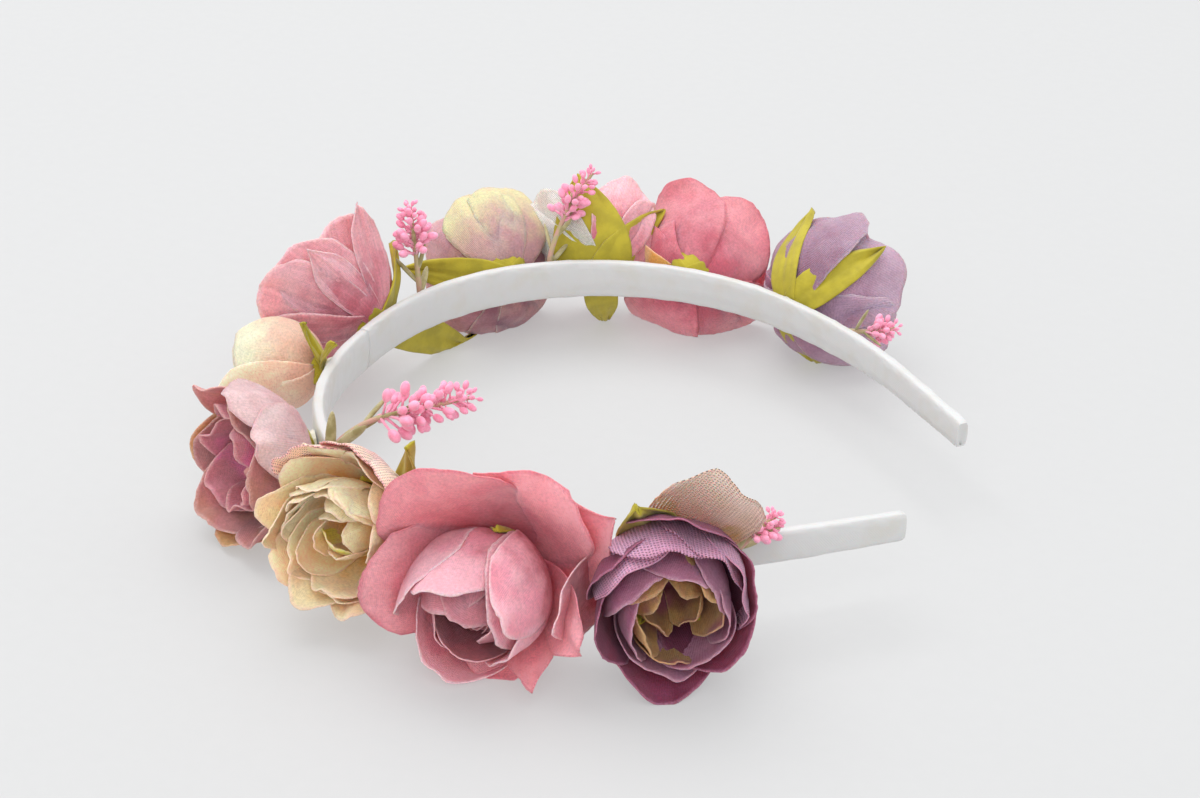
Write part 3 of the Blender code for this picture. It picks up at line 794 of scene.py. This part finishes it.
# Larger leaves and loose petals that stand out from single flowers
LEAVES = {
    "right_plum": [
        Whorl(1, 27, 13, (8, 44, 40), start=108, **LONG_LEAF),
    ],
    "peach_peony": [
        Whorl(1, 27, 6, (4, 44, 50), start=62, **LONG_LEAF),
    ],
    "pink_blossom": [
        Whorl(1, 40, 10, (0, -12, -8), start=208, **LONG_LEAF),
        Whorl(2, 20, 8, (4, 40, 44), start=150, step=25, **LONG_LEAF),
    ],
    "mauve_peony": [
        Whorl(1, 24, 9, (5, 30, 24), start=12, **LONG_LEAF),
    ],
    "pink_bud": [
        Whorl(1, 24, 21, (6, 40, 38), start=78, **BROAD_LEAF),
        Whorl(1, 22, 12, (4, 44, 50), start=152, **LONG_LEAF),
        Whorl(1, 21, 8, (0, 30, 34), start=258, **LONG_LEAF),
    ],
    "left_plum": [
        Whorl(1, 27, 8, (2, 54, 66), start=62, **LONG_LEAF),
        Whorl(1, 27, 9, (2, 50, 60), start=128, **LONG_LEAF),
        Whorl(1, 22, 8, (5, 40, 46), start=262, **LONG_LEAF),
    ],
    "yellow_bud": [
        Whorl(1, 12, 3.5, (6, 20, 0), start=70, **LONG_LEAF),
        Whorl(1, 12, 3.5, (0, -30, -40), start=60, **LONG_LEAF),
    ],
}
LOOSE_PETALS = {
    "right_plum": {
        "mesh": Whorl(4, 27, 23, (0, 70, 104), start=26, step=36, ruffle=0.9, waves=1.6, tip=0.85,
                      slant=1.5, foot=3.8),
        "beige_mesh": Whorl(1, 30, 20, (12, 38, 20), start=68, foot=2.6, roll=-10, wrap=2.4, ruffle=1.2,
                            tip=0.85),
        "rose_wrap": Whorl(1, 26, 16, (0, 46, 66), start=186, foot=4.4, wrap=1.1, ruffle=0.4, tip=0.7),
        "mauve_plum": Whorl(1, 22, 17, (10, 80, 130), start=28, foot=4.0, rise=3.5, wrap=1.1, ruffle=0.3,
                            tip=0.85),
    },
    "peach_peony": {
        "peach_mesh": Whorl(3, 25.5, 17, (0, 60, 84), start=58, step=36, foot=2.8, ruffle=0.4, tip=0.85),
        "lime": Whorl(1, 16, 11, (24, 86, 140), start=262, foot=1.6, rise=4.2, ruffle=0.2),
    },
    "open_rose": {
        "dusty_pale": Whorl(2, 26, 17, (2, 56, 78), start=38, step=34, foot=3.0, ruffle=0.6, tip=0.7),
        "tan": Whorl(2, 25, 17, (0, 56, 84), start=192, step=80, foot=2.8, ruffle=0.6, tip=0.85),
    },
    "pink_blossom": {
        "blossom": Whorl(3, 27, 18, (2, 44, 36), start=348, step=30, foot=3.2, wrap=2.0, ruffle=0.4,
                         tip=0.8),
    },
    "left_plum": {
        "organza": Whorl(6, 28, 23, (0, 62, 96), start=20, foot=2.8, wrap=1.1, ruffle=0.8, tip=0.85),
    },
    "mauve_peony": {
        "pale_lemon": Whorl(2, 25, 20, (0, 60, 90), start=72, step=40, foot=4.0, ruffle=0.5, tip=0.85),
        "mauve": Whorl(3, 26, 20, (0, 50, 72), start=235, step=34, foot=3.6, ruffle=0.5, tip=0.85),
    },
    "pink_bud": {
        "cream_organza": Whorl(2, 24, 14, (2, 48, 56), start=12, step=30, wrap=1.8, ruffle=0.8, tip=0.8),
        "blossom": Whorl(2, 22, 16, (2, 52, 66), start=122, step=36, wrap=1.4, ruffle=0.8, tip=0.8,
                         foot=2.8),
    },
    "left_rose": {
        "peach": Whorl(2, 25, 15, (0, 50, 60), start=352, step=-42, foot=3.6, wrap=1.4, ruffle=0.8, tip=0.8),
        "rose": Whorl(3, 25, 21, (0, 50, 66), start=222, step=36, foot=3.2, wrap=1.3, ruffle=0.6, tip=0.8),
    },
    "yellow_bud": {
        "cream": Whorl(1, 22, 15, (24, 58, 44), start=355, foot=3.6, wrap=1.4, ruffle=0.3, tip=0.6),
    },
}


def body_of_node(node_name):
    bodies = frame["record"]["behaviour"]["bodies"]
    return next(body for body, nodes in bodies.items() if node_name in nodes)


def make_flower(name, settings):
    """All of one flower: its petals, its heart or stamens, its loose petals and its sepals."""
    kind, dyes, nod = FLOWERS[name]
    place, body = flower_frame(name), body_of_node(f"{name}_calyx")
    right, up = (math.radians(degrees) for degrees in nod)
    nodding = place @ Matrix.Rotation(right, 4, "Y") @ Matrix.Rotation(-up, 4, "X")
    seed = sum(map(ord, name))
    dye = iter(dyes)
    for number, part in enumerate(("outer_petals", "inner_petals", "heart")):
        if part in KINDS[kind]:
            stand = nodding if number else place
            piece = make_whorls(f"{name}_{part}_cloth", stand, KINDS[kind][part], petal_material(next(dye)),
                                settings.cloth, seed + number)
            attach(piece, body)
            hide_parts(f"{name}_{part}")
    if "heart" not in KINDS[kind]:
        make_stamens(name, place, body)
    for loose, whorl in LOOSE_PETALS.get(name, {}).items():
        piece = make_whorls(f"{name}_{loose}_petals", place, [whorl], petal_material(loose), settings.cloth,
                            seed + 7)
        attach(piece, body)
    make_sepals(name, kind, place, body, settings, seed + 5)


def make_sepals(name, kind, place, body, settings, seed):
    """The ring of sepals under a flower, and any larger leaves beside it."""
    sepals = SMALL_SEPALS if "bud" in kind else SEPALS
    dark = tuple(part * 0.8 for part in settings.leaf)
    material = mottled_material("olive_leaf", settings.leaf, dark, 0.75, 260.0, 2400.0)
    piece = make_whorls(f"{name}_sepals", place, [sepals, *LEAVES.get(name, [])], material,
                        settings.sepal_cloth, seed)
    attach(piece, body)
    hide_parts(f"{name}_calyx")


def add_tube(bm, points, radii, sides=8):
    """A closed tube through the points, with a radius at each."""
    rings, side = [], None
    for i, point in enumerate(points):
        along = (points[min(i + 1, len(points) - 1)] - points[max(i - 1, 0)]).normalized()
        if side is None:
            side = along.orthogonal().normalized()
        side = (side - along * side.dot(along)).normalized()
        other = along.cross(side)
        rings.append([bm.verts.new(point + (side * math.cos(a) + other * math.sin(a)) * radii[i])
                      for a in (math.tau * k / sides for k in range(sides))])
    for a, b in zip(rings, rings[1:]):
        for k in range(sides):
            j = (k + 1) % sides
            bm.faces.new((a[k], a[j], b[j], b[k]))
    bm.faces.new(list(reversed(rings[0])))
    bm.faces.new(rings[-1])


def make_stamens(name, place, body):
    """Club-ended stamens that lean out of the middle of an open flower."""
    bm = bmesh.new()
    chance = random.Random(name)
    for i in range(STAMENS):
        turn = math.radians(i * GOLDEN_TURN)
        lean = 0.16 + 0.05 * i
        height = chance.uniform(9.0, 12.5)
        points, radii = [], []
        for k in range(STAMEN_STEPS + 1):
            v = k / STAMEN_STEPS
            out = (0.6 + 0.25 * i) * v + lean * 6 * v * v
            local = Vector((math.cos(turn) * out, math.sin(turn) * out, 3.0 + height * v))
            points.append(place @ (local * MM))
            radii.append((0.42 + 0.75 * math.exp(-((v - 0.86) / 0.12) ** 2) - 0.12 * v) * MM)
        add_tube(bm, points, radii, 10)
    bmesh.ops.recalc_face_normals(bm, faces=bm.faces)
    material = mottled_material("stamen", (0.66, 0.30, 0.26), (0.50, 0.18, 0.18), 0.6, 300.0, 2600.0)
    piece = add_piece(f"{name}_stamens", bm, material)
    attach(piece, body)
    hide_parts(f"{name}_heart")


# ---------------------------------------------------------------- sprigs

# sprig: (place along the band, buds, bud radius, route as (to the tip, outwards, up) from the middle line)
SPRIGS = {
    "inner_sprig": (-58.5, 20, 1.5, ((0, 2.6, 0), (0, 3.2, 5), (1, 0.5, 9.5), (2, -6, 12.5), (4, -16, 13.5),
                                     (6, -25, 14.5))),
    "crown_sprig": (25.0, 15, 1.3, ((0, 2.6, 0), (0, 3.4, 6), (0.5, 5, 14), (1, 7, 22))),
    "left_sprig": (57.5, 15, 1.15, ((0, 2.6, 0), (0.5, 3.2, 6), (5, 6, 15), (11, 8, 22.5))),
    "right_tip_sprig": (-143.5, 12, 1.05, ((0, 2.6, 0), (2, 3.0, 3), (5, 3.2, 6), (8, 3, 8.5))),
    "left_tip_sprig": (127.5, 10, 1.0, ((0, 2.6, 0), (3, 4.2, 0.5), (7, 7.5, 1), (10, 12, 1.5))),
}


def smooth_route(points, count):
    padded = [points[0] * 2 - points[1], *points, points[-1] * 2 - points[-2]]
    spans = len(points) - 1
    route = []
    for i in range(count + 1):
        u = spans * i / count
        k = min(int(u), spans - 1)
        t = u - k
        a, b, c, d = padded[k:k + 4]
        route.append(0.5 * (2 * b + (c - a) * t + (2 * a - 5 * b + 4 * c - d) * t**2
                            + (3 * b - a - 3 * c + d) * t**3))
    return route


def beads_tree():
    """Beads or leaflets wound round the far part of a curve: the tree that every sprig shares."""
    found = bpy.data.node_groups.get("beads_round_stem")
    if found:
        return found
    tree = bpy.data.node_groups.new("beads_round_stem", "GeometryNodeTree")
    tree.is_modifier = True
    face = tree.interface
    face.new_socket(name="Geometry", in_out="INPUT", socket_type="NodeSocketGeometry")
    for title, kind in (("Count", "Int"), ("From", "Float"), ("To", "Float"), ("Radius", "Float"),
                        ("Shape", "Vector"), ("Spread", "Float"), ("Lean", "Float"), ("Seed", "Int"),
                        ("Material", "Material")):
        face.new_socket(name=title, in_out="INPUT", socket_type=f"NodeSocket{kind}")
    face.new_socket(name="Geometry", in_out="OUTPUT", socket_type="NodeSocketGeometry")
    given, result = node(tree, "NodeGroupInput").outputs, node(tree, "NodeGroupOutput")
    part = node(tree, "GeometryNodeTrimCurve", {"Curve": given["Geometry"]}, mode="FACTOR")
    tree.links.new(given["From"], part.inputs[2])
    tree.links.new(given["To"], part.inputs[3])
    spots = node(tree, "GeometryNodeCurveToPoints", {"Curve": part.outputs[0], "Count": given["Count"]},
                 mode="COUNT")
    bead = node(tree, "GeometryNodeMeshIcoSphere", {"Radius": given["Radius"], "Subdivisions": 3})
    end = node(tree, "ShaderNodeCombineXYZ", {2: given["Spread"]})
    shape = node(tree, "GeometryNodeTransform", {
        "Geometry": bead.outputs[0], "Translation": end.outputs[0], "Scale": given["Shape"]})
    stalk = node(tree, "GeometryNodeMeshCone", {
        "Vertices": 6, "Radius Top": 0.0002, "Radius Bottom": 0.0003, "Depth": given["Spread"]})
    joined = node(tree, "GeometryNodeJoinGeometry")
    tree.links.new(shape.outputs[0], joined.inputs[0])
    tree.links.new(stalk.outputs[0], joined.inputs[0])
    lean = node(tree, "ShaderNodeCombineXYZ", {1: given["Lean"]})
    aside = node(tree, "GeometryNodeTransform", {"Geometry": joined.outputs[0], "Rotation": lean.outputs[0]})
    index = node(tree, "GeometryNodeInputIndex").outputs[0]
    wound = times(tree, index, math.radians(GOLDEN_TURN))
    stray = node(tree, "FunctionNodeRandomValue", {
        0: (-0.4, -0.5, -0.4), 1: (0.4, 0.5, 0.4), "Seed": given["Seed"]}, data_type="FLOAT_VECTOR")
    winding = node(tree, "ShaderNodeCombineXYZ", {2: wound})
    spin = node(tree, "ShaderNodeVectorMath", {0: winding.outputs[0], 1: stray.outputs[0]}, operation="ADD")
    turned = node(tree, "FunctionNodeRotateRotation", {
        "Rotation": spots.outputs["Rotation"], "Rotate By": spin.outputs[0]}, rotation_space="LOCAL")
    share = maths(tree, "DIVIDE", index, given["Count"])
    slim = maths(tree, "SUBTRACT", 1.12, times(tree, maths(tree, "POWER", share, 1.6), 0.62))
    size = node(tree, "FunctionNodeRandomValue", {2: 0.8, 3: 1.15, "Seed": given["Seed"]}, data_type="FLOAT")
    scale = times(tree, size.outputs[1], slim)
    placed = node(tree, "GeometryNodeInstanceOnPoints", {
        "Points": spots.outputs[0], "Instance": aside.outputs[0], "Rotation": turned.outputs[0],
        "Scale": scale})
    real = node(tree, "GeometryNodeRealizeInstances", {"Geometry": placed.outputs[0]})
    smooth = node(tree, "GeometryNodeSetShadeSmooth", {"Geometry": real.outputs[0]})
    finish = node(tree, "GeometryNodeSetMaterial", {
        "Geometry": smooth.outputs[0], "Material": given["Material"]})
    tree.links.new(finish.outputs[0], result.inputs[0])
    return tree


def beads_on(name, line, values):
    """A plain mesh of beads wound round the line."""
    curve = bpy.data.curves.new(f"{name}_line", "CURVE")
    curve.dimensions = "3D"
    spline = curve.splines.new("POLY")
    spline.points.add(len(line) - 1)
    for target, point in zip(spline.points, line):
        target.co = (*point, 1.0)
    holder = bpy.data.objects.new(f"{name}_line", curve)
    bpy.context.scene.collection.objects.link(holder)
    modifier = holder.modifiers.new("beads", "NODES")
    modifier.node_group = beads_tree()
    for item in modifier.node_group.interface.items_tree:
        if item.in_out == "INPUT" and item.name in values:
            modifier[item.identifier] = values[item.name]
    holder.update_tag()
    graph = bpy.context.evaluated_depsgraph_get()
    mesh = bpy.data.meshes.new_from_object(holder.evaluated_get(graph), depsgraph=graph)
    bpy.data.objects.remove(holder, do_unlink=True)
    mesh.name = name
    piece = bpy.data.objects.new(name, mesh)
    bpy.context.scene.collection.objects.link(piece)
    return piece


def make_sprig(name, settings):
    """A stem with a spike of small buds at its end and khaki leaflets below them."""
    along, buds, radius, route = SPRIGS[name]
    middle, to_tip, outward = band_frame(along)
    points = [(middle + to_tip * t + outward * n + UP * z) * MM for t, n, z in route]
    line = smooth_route(points, STEM_STEPS)
    body = body_of_node(name)
    stem_finish = mottled_material("stem", settings.stem, (0.42, 0.36, 0.18), 0.7, 500.0, 2800.0)
    bm = bmesh.new()
    add_tube(bm, line, [(0.75 - 0.35 * i / STEM_STEPS) * MM for i in range(STEM_STEPS + 1)])
    stem = add_piece(f"{name}_stem", bm, stem_finish)
    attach(stem, body)
    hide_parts(name)
    pale = tuple(min(1.0, c * 1.25 + 0.06) for c in settings.bead)
    bud_finish = mottled_material("flocked_bud", settings.bead, pale, 0.85, 600.0, 3600.0, 0.6, 0.00025)
    khaki, dark_khaki = (0.44, 0.39, 0.20), (0.28, 0.24, 0.09)
    leaf_finish = mottled_material("khaki_leaflet", khaki, dark_khaki, 0.8, 500.0, 3400.0, 0.4, 0.0002)
    sizes = {"Radius": radius * MM, "Spread": radius * 3.0 * MM}
    beads = beads_on(f"{name}_buds", line, {
        **sizes, "Count": int(buds * 3.2), "From": 0.5, "To": 0.995, "Shape": (0.62, 0.62, 0.95),
        "Lean": 1.0, "Seed": buds, "Material": bud_finish})
    leaflets = beads_on(f"{name}_leaflets", line, {
        **sizes, "Count": max(5, buds // 3), "From": 0.1, "To": 0.6, "Shape": (0.4, 0.62, 3.2),
        "Lean": 0.6, "Seed": buds + 1, "Material": leaf_finish})
    for piece in (beads, leaflets):
        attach(piece, body)


def finish_hidden_parts():
    """Finishes for the CAD pieces that stay: the springy strip and the dabs of glue."""
    strip = mottled_material("strip_plastic", (0.75, 0.75, 0.73), (0.70, 0.70, 0.68), 0.4, 90.0, 900.0)
    glue = mottled_material("clouded_glue", (0.80, 0.78, 0.70), (0.66, 0.64, 0.55), 0.35, 500.0, 1200.0)
    for name, obj in frame["nodes"].items():
        if name.startswith("band_core") or name.endswith("_glue"):
            obj.data.materials.clear()
            obj.data.materials.append(strip if name.startswith("band_core") else glue)


def make_stage(settings):
    """Pale table, soft overhead light and the camera."""
    bpy.ops.mesh.primitive_plane_add(size=TABLE_SIDE, location=(0, 0, floor_height()))
    floor = bpy.context.object
    floor.name = "table"
    shade = tuple(part * 0.995 for part in settings.floor)
    material = mottled_material("pale_table", settings.floor, shade, 0.75, 6.0, 300.0, 0.0, 0.00001)
    set_sockets(material.node_tree.nodes["Principled BSDF"], {
        "Emission Color": (1.0, 1.0, 1.0, 1.0), "Emission Strength": TABLE_GLOW})
    floor.data.materials.append(material)
    for name, (place, size, power) in LAMPS.items():
        data = bpy.data.lights.new(name, "AREA")
        data.size = size
        data.energy = power
        lamp = bpy.data.objects.new(name, data)
        bpy.context.scene.collection.objects.link(lamp)
        lamp.location = place
        lamp.rotation_euler = Vector(place).to_track_quat("Z", "Y").to_euler()
    world = bpy.data.worlds.new("soft_sky")
    world.use_nodes = True
    set_sockets(world.node_tree.nodes["Background"], {"Color": SKY_COLOUR, "Strength": SKY_STRENGTH})
    bpy.context.scene.world = world
    bpy.context.scene.view_settings.view_transform = "Standard"
    data = bpy.data.cameras.new("camera")
    data.lens = settings.lens
    data.sensor_width = SENSOR_WIDTH
    camera = bpy.data.objects.new("camera", data)
    bpy.context.scene.collection.objects.link(camera)
    flat = math.cos(settings.elevation)
    back = Vector((math.sin(settings.azimuth) * flat, -math.cos(settings.azimuth) * flat,
                   math.sin(settings.elevation)))
    camera.location = CAMERA_TARGET + back * settings.distance
    turn = back.to_track_quat("Z", "Y").to_matrix() @ Matrix.Rotation(CAMERA_ROLL, 3, "Z")
    camera.rotation_euler = turn.to_euler()
    bpy.context.scene.camera = camera


# ---------------------------------------------------------------- operators, panel and main


class CROWN_OT_sleeve(bpy.types.Operator):
    """Satin sleeve over the springy strip"""

    bl_idname = "crown.sleeve"
    bl_label = "Satin sleeve"

    def execute(self, context):
        for side_name, side in (("left", 1), ("right", -1)):
            make_sleeve(side_name, side, context.scene.crown_band)
        finish_hidden_parts()
        return {"FINISHED"}


class CROWN_OT_roses(bpy.types.Operator):
    """Wound fabric roses"""

    bl_idname = "crown.roses"
    bl_label = "Roses"

    def execute(self, context):
        make_flower("right_rose", context.scene.crown_flowers)
        make_flower("left_rose", context.scene.crown_flowers)
        return {"FINISHED"}


class CROWN_OT_ranunculus(bpy.types.Operator):
    """Plum flowers with sheer mesh petals"""

    bl_idname = "crown.ranunculus"
    bl_label = "Ranunculus"

    def execute(self, context):
        make_flower("right_plum", context.scene.crown_flowers)
        make_flower("left_plum", context.scene.crown_flowers)
        return {"FINISHED"}


class CROWN_OT_peonies(bpy.types.Operator):
    """Ruffled peach and mauve flowers"""

    bl_idname = "crown.peonies"
    bl_label = "Peonies"

    def execute(self, context):
        make_flower("peach_peony", context.scene.crown_flowers)
        make_flower("mauve_peony", context.scene.crown_flowers)
        return {"FINISHED"}


class CROWN_OT_open_flowers(bpy.types.Operator):
    """Open flowers with stamens"""

    bl_idname = "crown.open_flowers"
    bl_label = "Open flowers"

    def execute(self, context):
        make_flower("open_rose", context.scene.crown_flowers)
        make_flower("pink_blossom", context.scene.crown_flowers)
        return {"FINISHED"}


class CROWN_OT_buds(bpy.types.Operator):
    """Half-closed buds"""

    bl_idname = "crown.buds"
    bl_label = "Buds"

    def execute(self, context):
        make_flower("yellow_bud", context.scene.crown_flowers)
        make_flower("pink_bud", context.scene.crown_flowers)
        return {"FINISHED"}


class CROWN_OT_sprigs(bpy.types.Operator):
    """Sprigs of small buds"""

    bl_idname = "crown.sprigs"
    bl_label = "Sprigs"

    def execute(self, context):
        for name in SPRIGS:
            make_sprig(name, context.scene.crown_flowers)
        return {"FINISHED"}


class CROWN_OT_stage(bpy.types.Operator):
    """Table, light and camera"""

    bl_idname = "crown.stage"
    bl_label = "Stage"

    def execute(self, context):
        make_stage(context.scene.crown_stage)
        return {"FINISHED"}


OPERATORS = (CROWN_OT_stage, CROWN_OT_sleeve, CROWN_OT_roses, CROWN_OT_ranunculus, CROWN_OT_peonies,
             CROWN_OT_open_flowers, CROWN_OT_buds, CROWN_OT_sprigs)


class CROWN_PT_panel(bpy.types.Panel):
    """Flower crown"""

    bl_label = "Flower Crown"
    bl_idname = "CROWN_PT_panel"
    bl_space_type = "VIEW_3D"
    bl_region_type = "UI"
    bl_category = "Flower Crown"

    def draw(self, context):
        for operator in OPERATORS:
            self.layout.operator(operator.bl_idname)


GROUPS = {"crown_band": BandSettings, "crown_flowers": FlowerSettings, "crown_stage": StageSettings}


def register():
    for name, group in GROUPS.items():
        bpy.utils.register_class(group)
        setattr(bpy.types.Scene, name, bpy.props.PointerProperty(type=group))
    for cls in (*OPERATORS, CROWN_PT_panel):
        bpy.utils.register_class(cls)


def unregister():
    for cls in (CROWN_PT_panel, *reversed(OPERATORS)):
        bpy.utils.unregister_class(cls)
    for name, group in GROUPS.items():
        delattr(bpy.types.Scene, name)
        bpy.utils.unregister_class(group)


def main():
    register()
    for operator in OPERATORS:
        group, action = operator.bl_idname.split(".")
        getattr(getattr(bpy.ops, group), action)()


if __name__ == "__main__":
    main()
